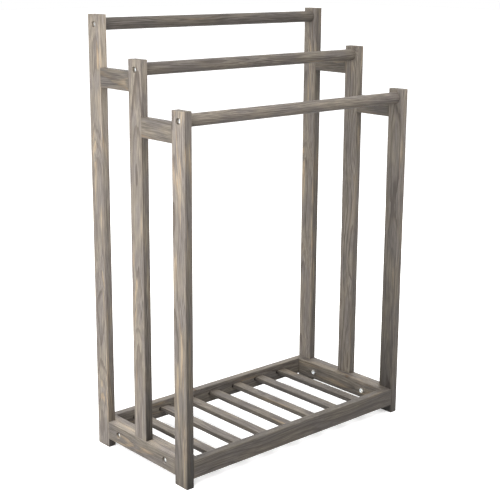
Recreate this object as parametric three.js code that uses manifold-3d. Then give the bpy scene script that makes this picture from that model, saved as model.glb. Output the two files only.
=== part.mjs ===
// A stepped wooden towel rack: two side frames of three posts each, three towel bars that drop
// in height from back to front, and a slatted shelf bolted between the frames near the floor.
// Millimetres. +X runs along the towel bars, -Y is the front, +Z is up. The origin is on the
// floor, at the centre of the rack.

import * as THREE from "three";
import { mergeVertices } from "three/addons/utils/BufferGeometryUtils.js";
import Module from "manifold-3d";

const wasm = await Module();
wasm.setup();

// Overall sizes.
const WIDTH = 620; // over the outer faces of the two side frames
const DEPTH = 308; // over the front and back posts
const HEIGHT = 914; // of the back posts
const MIDDLE_DROP = 80; // top of the back posts down to the top of the middle posts
const FRONT_DROP = 85; // top of the middle posts down to the top of the front posts

// The planed timber that every post, rail and brace is cut from.
const STOCK_THICK = 18;
const STOCK_WIDE = 39;
const ARRIS = 1.5; // radius of its eased long edges
const FOOT = 19; // the posts run this far below the bottom rails
const BRACE_DROP = 24; // top of the lower post of a pair down to the top of its brace

// Towel bars and the screws that hold them.
const BAR_DIAMETER = 25;
const BAR_BELOW_TOP = 19.5; // top of a post down to the bar's centre line
const SCREW_LENGTH = 50;
const SCREW_DIAMETER = 5;
const SCREW_HEAD_DIAMETER = 9.6;
const SCREW_HEAD_HEIGHT = 3.1;
const SCREW_RIM = 1.2; // straight rim of the head, below its dome
const SCREW_TIP = 7; // length of the screw's point
const SCREW_SEAT_DEPTH = 5.5; // how far the head's hole goes into the post
const DRIVE_WIDTH = 5; // across the cross recess in the screw's head
const DRIVE_BLADE = 1.2; // thickness of each arm of the cross
const DRIVE_DEPTH = 2.2;

// Shelf: a frame with loose-fitting slats let into its front and back rails.
const SLAT_COUNT = 7;
const SLAT_WIDE = 23;
const SLAT_THICK = 10;
const SLAT_ARRIS = 1.2;
const SLAT_DROP = 14; // top of the shelf's frame down to the top of the slats
const MORTISE_DEPTH = 8;

// Coach bolts and hexagon nuts that clamp the shelf to the side frames.
const BOLT_DIAMETER = 6;
const BOLT_FROM_POST = 35; // edge of a post to the bolt's centre line
const BOLT_HEAD_DIAMETER = 12.6;
const BOLT_HEAD_HEIGHT = 2.8;
const BOLT_RIM = 0.7; // straight rim of the head, below its dome
const BOLT_CHAMFER = 0.5; // on the bolt's end
const BOLT_SEAT_DEPTH = 6; // how far the head's hole goes into the rail
const NECK_LENGTH = 4; // square neck under the head
const NUT_ACROSS_FLATS = 10;
const NUT_THICK = 5;
const NUT_BEVEL = 0.6; // height of the turned bevel on the nut's open face
const BOLT_SHORT_OF_NUT = 0.8; // the bolt ends this far inside the nut's face

// Hidden beech dowels in the butt joints.
const DOWEL_DIAMETER = 8;
const DOWEL_LENGTH = 30;
const SHELF_DOWEL_BITE = 11; // length of a shelf dowel that lies in the front or back rail

// Clearances.
const HOLE_FIT = 0.3; // all round a screw, bolt, neck or dowel
const HEAD_FIT = 0.45; // all round a bolt head
const SCREW_HEAD_FIT = 1.4; // all round a screw head
const MORTISE_FIT = 0.3; // above and below a slat, and at its end
const DOWEL_END_GAP = 1; // at each end of a dowel
const OVERCUT = 2; // a cutter's reach past the face that it opens

// Facets round a full turn.
const BAR_FACETS = 40;
const FASTENER_FACETS = 20;
const DOWEL_FACETS = 12;
const ARRIS_FACETS = 2; // to each quarter round of an eased edge
const SLOT_FACETS = 5; // to each rounded end of a mortise
const DOME_FACETS = 4; // from the rim of a screw or bolt head to its crown

// Places that follow from the sizes above.
const OUTER_X = WIDTH / 2;
const INNER_X = OUTER_X - STOCK_THICK; // inner faces of the side frames
const SHELF_X = INNER_X - STOCK_THICK; // inner faces of the shelf's end rails
const FRAME_X = OUTER_X - STOCK_THICK / 2; // middle of a side frame's thickness
const FRONT_Y = -DEPTH / 2;
const BACK_Y = DEPTH / 2;
const RAIL_LOW = FOOT;
const RAIL_TOP = FOOT + STOCK_WIDE;
const RAIL_Z = FOOT + STOCK_WIDE / 2;
const SHELF_Y = DEPTH / 2 - STOCK_THICK; // inner faces of the shelf's front and back rails
const BOLT_Y = DEPTH / 2 - STOCK_WIDE - BOLT_FROM_POST;

const POSTS = [
  { name: "back", low: BACK_Y - STOCK_WIDE, foot: 0, top: HEIGHT },
  { name: "middle", low: -STOCK_WIDE / 2, foot: RAIL_TOP, top: HEIGHT - MIDDLE_DROP },
  { name: "front", low: FRONT_Y, foot: 0, top: HEIGHT - MIDDLE_DROP - FRONT_DROP },
];
for (const post of POSTS) {
  post.high = post.low + STOCK_WIDE;
  post.y = (post.low + post.high) / 2;
  post.barZ = post.top - BAR_BELOW_TOP;
}
const [BACK, MIDDLE, FRONT] = POSTS;

// A brace joins two neighbouring posts just below the top of the lower one.
const BRACES = [
  { name: "upper", behind: BACK, before: MIDDLE },
  { name: "lower", behind: MIDDLE, before: FRONT },
];
for (const brace of BRACES) {
  brace.top = brace.before.top - BRACE_DROP;
  brace.low = brace.top - STOCK_WIDE;
  brace.z = (brace.top + brace.low) / 2;
}

const SIDES = [
  { name: "left", sign: -1 },
  { name: "right", sign: 1 },
];

const X = new THREE.Vector3(1, 0, 0);
const Y = new THREE.Vector3(0, 1, 0);
const Z = new THREE.Vector3(0, 0, 1);

const pine = new THREE.MeshStandardMaterial({ color: 0x8f857b, roughness: 0.82, metalness: 0 });
const turnedPine = new THREE.MeshStandardMaterial({ color: 0x867c72, roughness: 0.78, metalness: 0 });
const beech = new THREE.MeshStandardMaterial({ color: 0xc3a179, roughness: 0.75, metalness: 0 });
const zinc = new THREE.MeshStandardMaterial({ color: 0xd2d5d6, roughness: 0.32, metalness: 1 });

const rack = new THREE.Group();

// ---- Solids -------------------------------------------------------------------------------

function toSolid(geometry) {
  const bare = geometry.clone();
  bare.deleteAttribute("normal");
  bare.deleteAttribute("uv");
  const merged = mergeVertices(bare.index ? bare.toNonIndexed() : bare, 1e-4);
  const vertProperties = new Float32Array(merged.attributes.position.array);
  const triVerts = new Uint32Array(merged.index.array);
  return new wasm.Manifold(new wasm.Mesh({ numProp: 3, vertProperties, triVerts }));
}

function toGeometry(solid) {
  const { vertProperties, triVerts } = solid.getMesh();
  const geometry = new THREE.BufferGeometry();
  geometry.setAttribute("position", new THREE.BufferAttribute(vertProperties, 3));
  geometry.setIndex(new THREE.BufferAttribute(triVerts, 1));
  const faceted = geometry.toNonIndexed();
  faceted.computeVertexNormals();
  return faceted;
}

function cut(geometry, cutters) {
  let solid = toSolid(geometry);
  for (const cutter of cutters) solid = solid.subtract(toSolid(cutter));
  return toGeometry(solid);
}

function join(geometry, others) {
  let solid = toSolid(geometry);
  for (const other of others) solid = solid.add(toSolid(other));
  return toGeometry(solid);
}

// ---- Shapes -------------------------------------------------------------------------------

// Turns a shape's own X, Y and Z onto the rack's axes, so that its Z runs along the grain.
const ALONG = {
  x: new THREE.Matrix4().makeBasis(Y, Z, X),
  y: new THREE.Matrix4().makeBasis(Z, X, Y),
  z: new THREE.Matrix4().makeBasis(X, Y, Z),
};
const ACROSS = { x: ["y", "z"], y: ["z", "x"], z: ["x", "y"] };

function roundedSection(wide, tall, radius) {
  const w = wide / 2;
  const t = tall / 2;
  const section = new THREE.Shape();
  section.absarc(w - radius, t - radius, radius, 0, Math.PI / 2);
  section.absarc(radius - w, t - radius, radius, Math.PI / 2, Math.PI);
  section.absarc(radius - w, radius - t, radius, Math.PI, 1.5 * Math.PI);
  section.absarc(w - radius, radius - t, radius, 1.5 * Math.PI, 2 * Math.PI);
  section.closePath();
  return section;
}

// A length of timber between two corners, with its four long edges eased.
function timber(low, high, grain, radius) {
  const size = high.clone().sub(low);
  const centre = low.clone().add(high).multiplyScalar(0.5);
  const [a, b] = ACROSS[grain];
  const section = roundedSection(size[a], size[b], radius);
  const geometry = new THREE.ExtrudeGeometry(section, {
    depth: size[grain],
    bevelEnabled: false,
    curveSegments: ARRIS_FACETS,
  });
  geometry.translate(0, 0, -size[grain] / 2);
  geometry.applyMatrix4(ALONG[grain]);
  geometry.translate(centre.x, centre.y, centre.z);
  return geometry;
}

// A round solid from [radius, height] steps, standing on its own origin along its own Y.
function turned(steps, facets) {
  const profile = steps.map(([radius, height]) => new THREE.Vector2(radius, height));
  return new THREE.LatheGeometry(profile, facets);
}

// A wide hole from its mouth down to 0, then a narrow one down to its end.
function steppedHole(wide, mouth, narrow, end) {
  const steps = [[0, end], [narrow, end], [narrow, 0], [wide, 0], [wide, mouth], [0, mouth]];
  return turned(steps, FASTENER_FACETS);
}

function rod(radius, from, to, facets) {
  return turned([[0, from], [radius, from], [radius, to], [0, to]], facets);
}

// Steps of a domed head: a straight rim, then a quarter of an ellipse up to the crown.
function domedHead(diameter, rim, height) {
  const steps = [[diameter / 2, 0]];
  for (let i = 0; i <= DOME_FACETS; i++) {
    const turn = ((i / DOME_FACETS) * Math.PI) / 2;
    const radius = i < DOME_FACETS ? (diameter / 2) * Math.cos(turn) : 0;
    steps.push([radius, rim + (height - rim) * Math.sin(turn)]);
  }
  return steps;
}

// Lays a shape made along its own Y onto a line of the rack.
function laid(geometry, at, direction) {
  geometry.applyQuaternion(new THREE.Quaternion().setFromUnitVectors(Y, direction));
  geometry.translate(at.x, at.y, at.z);
  return geometry;
}

// Names a geometry given in the rack's frame and hangs it on the rack at its own centre.
function addPiece(name, geometry, material) {
  geometry.computeBoundingBox();
  const centre = geometry.boundingBox.getCenter(new THREE.Vector3());
  geometry.translate(-centre.x, -centre.y, -centre.z);
  const mesh = new THREE.Mesh(geometry, material);
  mesh.name = name;
  mesh.position.copy(centre);
  rack.add(mesh);
}

function corners(x0, x1, y0, y1, z0, z1) {
  return [
    new THREE.Vector3(Math.min(x0, x1), y0, z0),
    new THREE.Vector3(Math.max(x0, x1), y1, z1),
  ];
}

// ---- Dowels: one cutter drills both pieces of the joint -------------------------------------

function dowel(name, at, direction, back, ahead) {
  const pin = rod(DOWEL_DIAMETER / 2, -back, ahead, DOWEL_FACETS);
  const hole = rod(
    DOWEL_DIAMETER / 2 + HOLE_FIT,
    -back - DOWEL_END_GAP,
    ahead + DOWEL_END_GAP,
    DOWEL_FACETS,
  );
  return { name, pin: laid(pin, at, direction), hole: laid(hole, at, direction) };
}

const HALF_DOWEL = DOWEL_LENGTH / 2;

function braceDowels(side, brace) {
  const x = side.sign * FRAME_X;
  const label = `${side.name}_${brace.name}_brace`;
  const behind = new THREE.Vector3(x, brace.behind.low, brace.z);
  const before = new THREE.Vector3(x, brace.before.high, brace.z);
  return [
    dowel(`${label}_back_dowel`, behind, Y, HALF_DOWEL, HALF_DOWEL),
    dowel(`${label}_front_dowel`, before, Y, HALF_DOWEL, HALF_DOWEL),
  ];
}

function railDowels(side) {
  const x = side.sign * FRAME_X;
  const label = `${side.name}_bottom_rail`;
  const behind = new THREE.Vector3(x, BACK.low, RAIL_Z);
  const before = new THREE.Vector3(x, FRONT.high, RAIL_Z);
  return [
    dowel(`${label}_back_dowel`, behind, Y, HALF_DOWEL, HALF_DOWEL),
    dowel(`${label}_front_dowel`, before, Y, HALF_DOWEL, HALF_DOWEL),
  ];
}

function footDowel(side) {
  const at = new THREE.Vector3(side.sign * FRAME_X, MIDDLE.y, MIDDLE.foot);
  return dowel(`${side.name}_middle_post_dowel`, at, Z, HALF_DOWEL, HALF_DOWEL);
}

function shelfDowels(side) {
  const x = side.sign * (SHELF_X + STOCK_THICK / 2);
  const inEndRail = DOWEL_LENGTH - SHELF_DOWEL_BITE;
  const label = `shelf_${side.name}_end_rail`;
  const behind = new THREE.Vector3(x, SHELF_Y, RAIL_Z);
  const before = new THREE.Vector3(x, -SHELF_Y, RAIL_Z);
  return [
    dowel(`${label}_back_dowel`, behind, Y, inEndRail, SHELF_DOWEL_BITE),
    dowel(`${label}_front_dowel`, before, Y, SHELF_DOWEL_BITE, inEndRail),
  ];
}

// ---- Bar screws: driven inwards through a post into the end of a bar ------------------------

function crossRecess() {
  const floor = SCREW_HEAD_HEIGHT - DRIVE_DEPTH;
  const arms = [
    new THREE.BoxGeometry(DRIVE_WIDTH, DRIVE_DEPTH + OVERCUT, DRIVE_BLADE),
    new THREE.BoxGeometry(DRIVE_BLADE, DRIVE_DEPTH + OVERCUT, DRIVE_WIDTH),
  ];
  for (const arm of arms) arm.translate(0, floor + (DRIVE_DEPTH + OVERCUT) / 2, 0);
  return arms;
}

// The screw's own Y points out of its head; the head seats at 0 and the point is below it.
function barScrew() {
  const r = SCREW_DIAMETER / 2;
  const shank = [[0, -SCREW_LENGTH], [r, SCREW_TIP - SCREW_LENGTH], [r, 0]];
  const head = domedHead(SCREW_HEAD_DIAMETER, SCREW_RIM, SCREW_HEAD_HEIGHT);
  return cut(turned([...shank, ...head], FASTENER_FACETS), crossRecess());
}

function barScrewHole() {
  const seat = SCREW_HEAD_DIAMETER / 2 + SCREW_HEAD_FIT;
  const hole = SCREW_DIAMETER / 2 + HOLE_FIT;
  const end = -SCREW_LENGTH - HOLE_FIT;
  return steppedHole(seat, SCREW_SEAT_DEPTH + OVERCUT, hole, end);
}

function screwLine(side, post) {
  const at = new THREE.Vector3(side.sign * (OUTER_X - SCREW_SEAT_DEPTH), post.y, post.barZ);
  return { at, outwards: X.clone().multiplyScalar(side.sign) };
}

function addBarScrew(side, post) {
  const { at, outwards } = screwLine(side, post);
  addPiece(`${side.name}_${post.name}_bar_screw`, laid(barScrew(), at, outwards), zinc);
}

function barScrewHoleAt(side, post) {
  const { at, outwards } = screwLine(side, post);
  return laid(barScrewHole(), at, outwards);
}

// ---- Shelf bolts: through a side rail and a shelf end rail, with a nut inside ---------------

const CLAMPED = 2 * STOCK_THICK - BOLT_SEAT_DEPTH; // timber between head and nut
const NECK_WIDE = BOLT_DIAMETER;

function squareNeck(wide, length, above) {
  const neck = new THREE.BoxGeometry(wide, length + above, wide);
  return neck.translate(0, (above - length) / 2, 0);
}

// The bolt's own Y points out of its domed head; the head seats at 0.
function coachBolt() {
  const r = BOLT_DIAMETER / 2;
  const end = BOLT_SHORT_OF_NUT - CLAMPED - NUT_THICK;
  const shank = [[0, end], [r - BOLT_CHAMFER, end], [r, end + BOLT_CHAMFER], [r, 0]];
  const head = domedHead(BOLT_HEAD_DIAMETER, BOLT_RIM, BOLT_HEAD_HEIGHT);
  return join(turned([...shank, ...head], FASTENER_FACETS), [squareNeck(NECK_WIDE, NECK_LENGTH, BOLT_RIM)]);
}

function coachBoltHole() {
  const seat = BOLT_HEAD_DIAMETER / 2 + HEAD_FIT;
  const hole = BOLT_DIAMETER / 2 + HOLE_FIT;
  const bore = steppedHole(seat, BOLT_SEAT_DEPTH + OVERCUT, hole, -CLAMPED - OVERCUT);
  return join(bore, [squareNeck(NECK_WIDE + 2 * HOLE_FIT, NECK_LENGTH + HOLE_FIT, OVERCUT)]);
}

// A plain hexagon nut, bored clear of the bolt, lying from 0 down its own Y. A cone takes the
// corners off its open face.
function hexNut() {
  const flat = NUT_ACROSS_FLATS / 2;
  const corner = flat / Math.cos(Math.PI / 6);
  const low = -NUT_THICK;
  const body = turned([[0, low], [corner, low], [corner, 0], [0, 0]], 6);
  const bevel = [[0, low], [flat, low], [corner, low + NUT_BEVEL], [corner, 0], [0, 0]];
  const cone = turned(bevel, FASTENER_FACETS);
  const bore = rod(BOLT_DIAMETER / 2 + HOLE_FIT, low - OVERCUT, OVERCUT, FASTENER_FACETS);
  return toGeometry(toSolid(body).intersect(toSolid(cone)).subtract(toSolid(bore)));
}

const BOLTS = [
  { name: "back", y: BOLT_Y },
  { name: "front", y: -BOLT_Y },
];

function boltLine(side, bolt) {
  const at = new THREE.Vector3(side.sign * (OUTER_X - BOLT_SEAT_DEPTH), bolt.y, RAIL_Z);
  return { at, outwards: X.clone().multiplyScalar(side.sign) };
}

function addShelfBolt(side, bolt) {
  const { at, outwards } = boltLine(side, bolt);
  const inside = new THREE.Vector3(side.sign * SHELF_X, bolt.y, RAIL_Z);
  addPiece(`${side.name}_${bolt.name}_shelf_bolt`, laid(coachBolt(), at, outwards), zinc);
  addPiece(`${side.name}_${bolt.name}_shelf_nut`, laid(hexNut(), inside, outwards), zinc);
}

function shelfBoltHoles(side) {
  return BOLTS.map((bolt) => {
    const { at, outwards } = boltLine(side, bolt);
    return laid(coachBoltHole(), at, outwards);
  });
}

// ---- Side frames --------------------------------------------------------------------------

function addPost(side, post, dowels) {
  const [low, high] = corners(
    side.sign * OUTER_X, side.sign * INNER_X, post.low, post.high, post.foot, post.top,
  );
  const holes = [barScrewHoleAt(side, post), ...dowels.map((pin) => pin.hole)];
  addPiece(`${side.name}_${post.name}_post`, cut(timber(low, high, "z", ARRIS), holes), pine);
}

function addBrace(side, brace, dowels) {
  const [low, high] = corners(
    side.sign * OUTER_X, side.sign * INNER_X, brace.before.high, brace.behind.low, brace.low, brace.top,
  );
  const holes = dowels.map((pin) => pin.hole);
  addPiece(`${side.name}_${brace.name}_brace`, cut(timber(low, high, "y", ARRIS), holes), pine);
}

function addBottomRail(side, dowels) {
  const [low, high] = corners(
    side.sign * OUTER_X, side.sign * INNER_X, FRONT.high, BACK.low, RAIL_LOW, RAIL_TOP,
  );
  const holes = [...shelfBoltHoles(side), ...dowels.map((pin) => pin.hole)];
  addPiece(`${side.name}_bottom_rail`, cut(timber(low, high, "y", ARRIS), holes), pine);
}

function addSideFrame(side) {
  const [upperBack, upperFront] = braceDowels(side, BRACES[0]);
  const [lowerBack, lowerFront] = braceDowels(side, BRACES[1]);
  const [railBack, railFront] = railDowels(side);
  const foot = footDowel(side);
  addPost(side, BACK, [upperBack, railBack]);
  addPost(side, MIDDLE, [upperFront, lowerBack, foot]);
  addPost(side, FRONT, [lowerFront, railFront]);
  addBrace(side, BRACES[0], [upperBack, upperFront]);
  addBrace(side, BRACES[1], [lowerBack, lowerFront]);
  addBottomRail(side, [railBack, railFront, foot]);
  const pins = [upperBack, upperFront, lowerBack, lowerFront, railBack, railFront, foot];
  for (const pin of pins) addPiece(pin.name, pin.pin, beech);
}

// ---- Towel bars ---------------------------------------------------------------------------

function addTowelBar(post) {
  const middle = new THREE.Vector3(0, post.y, post.barZ);
  const bar = laid(rod(BAR_DIAMETER / 2, -INNER_X, INNER_X, BAR_FACETS), middle, X);
  const holes = SIDES.map((side) => barScrewHoleAt(side, post));
  addPiece(`${post.name}_towel_bar`, cut(bar, holes), turnedPine);
}

// ---- Shelf --------------------------------------------------------------------------------

const SLAT_GAP = (2 * SHELF_X - SLAT_COUNT * SLAT_WIDE) / (SLAT_COUNT + 1);
const SLAT_TOP = RAIL_TOP - SLAT_DROP;
const SLAT_LOW = SLAT_TOP - SLAT_THICK;
const SLAT_Z = (SLAT_TOP + SLAT_LOW) / 2;

function slatX(index) {
  return -SHELF_X + SLAT_GAP + SLAT_WIDE / 2 + index * (SLAT_WIDE + SLAT_GAP);
}

// A routed slot with round ends, long enough for the slat's square corners.
function mortise(x, y) {
  const r = SLAT_THICK / 2 + MORTISE_FIT;
  const half = SLAT_WIDE / 2;
  const slot = new THREE.Shape();
  slot.absarc(half, 0, r, -Math.PI / 2, Math.PI / 2);
  slot.absarc(-half, 0, r, Math.PI / 2, 1.5 * Math.PI);
  slot.closePath();
  const depth = MORTISE_DEPTH + OVERCUT;
  const geometry = new THREE.ExtrudeGeometry(slot, {
    depth,
    bevelEnabled: false,
    curveSegments: SLOT_FACETS,
  });
  geometry.translate(0, 0, -depth / 2);
  geometry.rotateX(Math.PI / 2);
  geometry.translate(x, y, SLAT_Z);
  return geometry;
}

function addLongRail(name, outerY, sign, dowels) {
  const innerY = outerY - sign * STOCK_THICK;
  const [low, high] = corners(
    -INNER_X, INNER_X, Math.min(outerY, innerY), Math.max(outerY, innerY), RAIL_LOW, RAIL_TOP,
  );
  const slotY = innerY + (sign * (MORTISE_DEPTH - OVERCUT)) / 2;
  const holes = dowels.map((pin) => pin.hole);
  for (let i = 0; i < SLAT_COUNT; i++) holes.push(mortise(slatX(i), slotY));
  addPiece(name, cut(timber(low, high, "x", ARRIS), holes), pine);
}

function addEndRail(side, dowels) {
  const [low, high] = corners(
    side.sign * INNER_X, side.sign * SHELF_X, -SHELF_Y, SHELF_Y, RAIL_LOW, RAIL_TOP,
  );
  const holes = [...shelfBoltHoles(side), ...dowels.map((pin) => pin.hole)];
  addPiece(`shelf_${side.name}_end_rail`, cut(timber(low, high, "y", ARRIS), holes), pine);
}

function addSlat(index) {
  const x = slatX(index);
  const reach = SHELF_Y + MORTISE_DEPTH - MORTISE_FIT;
  const [low, high] = corners(
    x - SLAT_WIDE / 2, x + SLAT_WIDE / 2, -reach, reach, SLAT_LOW, SLAT_TOP,
  );
  addPiece(`shelf_slat_${index + 1}`, timber(low, high, "y", SLAT_ARRIS), pine);
}

function addShelf() {
  const [leftBack, leftFront] = shelfDowels(SIDES[0]);
  const [rightBack, rightFront] = shelfDowels(SIDES[1]);
  addLongRail("shelf_front_rail", FRONT_Y, -1, [leftFront, rightFront]);
  addLongRail("shelf_back_rail", BACK_Y, 1, [leftBack, rightBack]);
  addEndRail(SIDES[0], [leftBack, leftFront]);
  addEndRail(SIDES[1], [rightBack, rightFront]);
  for (let i = 0; i < SLAT_COUNT; i++) addSlat(i);
  for (const pin of [leftBack, leftFront, rightBack, rightFront]) addPiece(pin.name, pin.pin, beech);
}

// ---- The rack -----------------------------------------------------------------------------

for (const side of SIDES) addSideFrame(side);
for (const post of POSTS) addTowelBar(post);
addShelf();
for (const side of SIDES) {
  for (const post of POSTS) addBarScrew(side, post);
  for (const bolt of BOLTS) addShelfBolt(side, bolt);
}

export default rack;
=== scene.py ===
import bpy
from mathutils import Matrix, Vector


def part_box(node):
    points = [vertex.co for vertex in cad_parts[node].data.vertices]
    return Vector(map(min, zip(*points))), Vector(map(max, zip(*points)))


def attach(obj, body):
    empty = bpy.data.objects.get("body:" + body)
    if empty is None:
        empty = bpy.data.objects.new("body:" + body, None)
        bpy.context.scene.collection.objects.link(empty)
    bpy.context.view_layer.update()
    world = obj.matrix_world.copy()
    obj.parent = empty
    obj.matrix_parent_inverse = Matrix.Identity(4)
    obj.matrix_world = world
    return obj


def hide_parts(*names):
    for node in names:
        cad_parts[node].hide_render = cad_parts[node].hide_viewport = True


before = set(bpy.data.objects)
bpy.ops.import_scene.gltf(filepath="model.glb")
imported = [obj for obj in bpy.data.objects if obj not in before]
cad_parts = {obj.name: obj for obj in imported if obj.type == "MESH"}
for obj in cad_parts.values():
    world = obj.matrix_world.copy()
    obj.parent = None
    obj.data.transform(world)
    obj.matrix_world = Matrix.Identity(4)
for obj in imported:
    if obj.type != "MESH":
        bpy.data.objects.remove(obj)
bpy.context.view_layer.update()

import math
import random

import bmesh
import bpy
import numpy as np
from mathutils import Matrix, Quaternion, Vector, noise

# ---- Posts ------------------------------------------------------------------------------------
# Six uprights of planed pine, 18 by 39 mm, with eased edges and square-sawn ends. Each is drilled
# for its dowels and for the sunk screw that holds its towel bar, then dipped in a thin grey wash
# that sinks into the soft wood and leaves the hard, resinous lines of the grain tan.

ARRIS = 0.0015  # radius of the eased long edges
END_ARRIS = 0.0007  # the saw-cut ends are only sanded
ARRIS_STEPS = 4
END_STEPS = 3
GRID_ACROSS = 0.003  # spacing of the surface mesh across the grain
GRID_ALONG = 0.008  # and along it
PLANING = 0.00009  # depth of the planer's ripple
RIPPLES = (60, 60, 9)  # to a metre, across the grain both ways and along it
RUBBED = 0.00035  # depth of wear on the edges
RUBS = (40, 40, 28)  # to a metre, in the same way
RUB_MORE = 0.15  # above 0, more than half of an edge is worn
EDGE_WIDTH = 0.0035  # how far the wear reaches in from an edge

SIDES = {"left": -1, "right": 1}
ROWS = ("back", "middle", "front")

DOWEL_HOLE = 0.0043
DOWEL_END_GAP = 0.001
DOWEL_HOLE_SIDES = 24
HOLE_SIDES = 40
MOUTH_EASE = 0.0004  # small chamfer where a hole breaks the surface
OVERCUT = 0.002
SLIVER = 0.000002  # shorter edges than this, left by a cut, are closed up

SCREW_SEAT_DEPTH = 0.0055
SCREW_SEAT_RADIUS = 0.0062
SCREW_HOLE = 0.0028
SCREW_LENGTH = 0.050


def section_outline(half_a, half_b, radius, inset):
    """Points round a rounded rectangle, drawn in from its full size by the inset."""
    centre_a, centre_b = half_a - radius, half_b - radius
    steps = (round(2 * centre_a / GRID_ACROSS), round(2 * centre_b / GRID_ACROSS))
    corners = ((1, 1), (-1, 1), (-1, -1), (1, -1))
    points = []
    for quarter, (side_a, side_b) in enumerate(corners):
        for i in range(ARRIS_STEPS + 1):
            turn = (quarter + i / ARRIS_STEPS) * math.pi / 2
            reach = radius - inset
            points.append((side_a * centre_a + reach * math.cos(turn),
                           side_b * centre_b + reach * math.sin(turn)))
        next_a, next_b = corners[(quarter + 1) % 4]
        turn = (quarter + 1) * math.pi / 2
        start = np.array(points[-1])
        end = np.array((next_a * centre_a + (radius - inset) * math.cos(turn),
                        next_b * centre_b + (radius - inset) * math.sin(turn)))
        count = max(1, steps[quarter % 2])
        points += [tuple(start + (end - start) * i / count) for i in range(1, count)]
    return points


def rings_to_mesh(name, rings):
    """Skins a row of equal rings, from the low end to the high end, and closes both ends."""
    count = len(rings[0])
    points = [point for ring in rings for point in ring]
    faces = [tuple(reversed(range(count)))]
    for i in range(len(rings) - 1):
        for j in range(count):
            k = (j + 1) % count
            faces.append((i * count + j, i * count + k, (i + 1) * count + k, (i + 1) * count + j))
    faces.append(tuple(range((len(rings) - 1) * count, len(rings) * count)))
    mesh = bpy.data.meshes.new(name)
    mesh.from_pydata(points, [], faces)
    mesh.validate()
    return mesh


def long_axis(low, high):
    """The number of the axis that a piece is longest along."""
    size = high - low
    return max(range(3), key=lambda axis: size[axis])


def grain_axes(low, high):
    """The grain runs along a board's longest side. Its axis comes last, after the two across it."""
    along = long_axis(low, high)
    return (along + 1) % 3, (along + 2) % 3, along


def edge_closeness(local, half):
    """1 on a board's edges and 0 further in than the wear reaches, for each point."""
    room = np.maximum(half - np.abs(local), 0)
    pairs = (room[:, 0] + room[:, 1], room[:, 0] + room[:, 2], room[:, 1] + room[:, 2])
    return np.clip(1 - np.minimum.reduce(pairs) / EDGE_WIDTH, 0, 1)


def sawn_board(name, low, high, arris):
    """A board between two corners: eased edges, sanded ends, and the ripple and wear of use."""
    axes = grain_axes(low, high)
    centre = (low + high) / 2
    half = np.array([(high - low)[axis] / 2 for axis in axes])
    stations = []
    for i in range(END_STEPS + 1):
        turn = i / END_STEPS * math.pi / 2
        inset = END_ARRIS * (1 - math.sin(turn))
        stations.append((-half[2] + END_ARRIS * (1 - math.cos(turn)), inset))
    count = max(2, round(2 * half[2] / GRID_ALONG))
    first = -half[2] + END_ARRIS
    middle = [(first * (1 - 2 * i / count), 0.0) for i in range(1, count)]
    stations += middle + [(-place, inset) for place, inset in reversed(stations)]
    rings = []
    for place, inset in stations:
        rings.append([(a, b, place) for a, b in section_outline(half[0], half[1], arris, inset)])
    mesh = rings_to_mesh(name, rings)
    local = np.array([vertex.co for vertex in mesh.vertices])
    normals = np.array([vertex.normal for vertex in mesh.vertices])
    edges = edge_closeness(local, half)
    start = Vector((random.Random(name).uniform(0, 50), 0, 0))
    for i, point in enumerate(local):
        ripple = noise.noise(Vector(point * RIPPLES) + start)
        rub = noise.noise(Vector(point * RUBS) + start * 2)
        depth = PLANING * (0.5 + 0.5 * ripple) + RUBBED * edges[i] * max(0, rub + RUB_MORE)
        local[i] = point - normals[i] * depth
    local = np.clip(local, -half, half)
    placed = np.zeros_like(local)
    for column, axis in enumerate(axes):
        placed[:, axis] = local[:, column] + centre[axis]
    mesh.vertices.foreach_set("co", placed.ravel())
    mesh.update()
    return mesh


def turned_to(direction):
    """The rotation that lays something made upright along a direction."""
    return Vector((0, 0, 1)).rotation_difference(Vector(direction)).to_matrix()


def round_point(turn, at, radius, angle, distance):
    """A point so far out from a turned axis, and so far along it."""
    upright = Vector((radius * math.cos(angle), radius * math.sin(angle), distance))
    return turn @ upright + Vector(at)


def drill(profile, at, direction, sides=HOLE_SIDES):
    """A round cutter as (points, faces): (radius, distance) steps along a direction from a point."""
    turn = turned_to(direction)
    points, faces = [], []
    for radius, distance in profile:
        for i in range(sides):
            points.append(round_point(turn, at, radius, 2 * math.pi * i / sides, distance))
    for i in range(len(profile) - 1):
        for j in range(sides):
            k = (j + 1) % sides
            faces.append((i * sides + j, i * sides + k, (i + 1) * sides + k, (i + 1) * sides + j))
    faces.append(tuple(reversed(range(sides))))
    faces.append(tuple(range((len(profile) - 1) * sides, len(profile) * sides)))
    return points, faces


def cut_from(mesh, cutters):
    """Takes the cutters out of a mesh and gives back the cut mesh, with its slivers closed up."""
    if not cutters:
        return mesh
    points, faces = [], []
    for more_points, more_faces in cutters:
        faces += [tuple(i + len(points) for i in face) for face in more_faces]
        points += more_points
    tool_mesh = bpy.data.meshes.new("cutters")
    tool_mesh.from_pydata(points, [], faces)
    tool = bpy.data.objects.new("cutters", tool_mesh)
    work = bpy.data.objects.new("work", mesh)
    for thing in (tool, work):
        bpy.context.scene.collection.objects.link(thing)
    boolean = work.modifiers.new("cut", "BOOLEAN")
    boolean.operation = "DIFFERENCE"
    boolean.solver = "EXACT"
    boolean.object = tool
    graph = bpy.context.evaluated_depsgraph_get()
    result = bpy.data.meshes.new_from_object(work.evaluated_get(graph))
    result.name = mesh.name
    for thing in (tool, work):
        bpy.data.objects.remove(thing)
    tidied = bmesh.new()
    tidied.from_mesh(result)
    bmesh.ops.remove_doubles(tidied, verts=tidied.verts, dist=SLIVER)
    bmesh.ops.dissolve_degenerate(tidied, edges=tidied.edges, dist=SLIVER)
    tidied.to_mesh(result)
    tidied.free()
    return result


def centre_of(node):
    low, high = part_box(node)
    return (low + high) / 2


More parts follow.
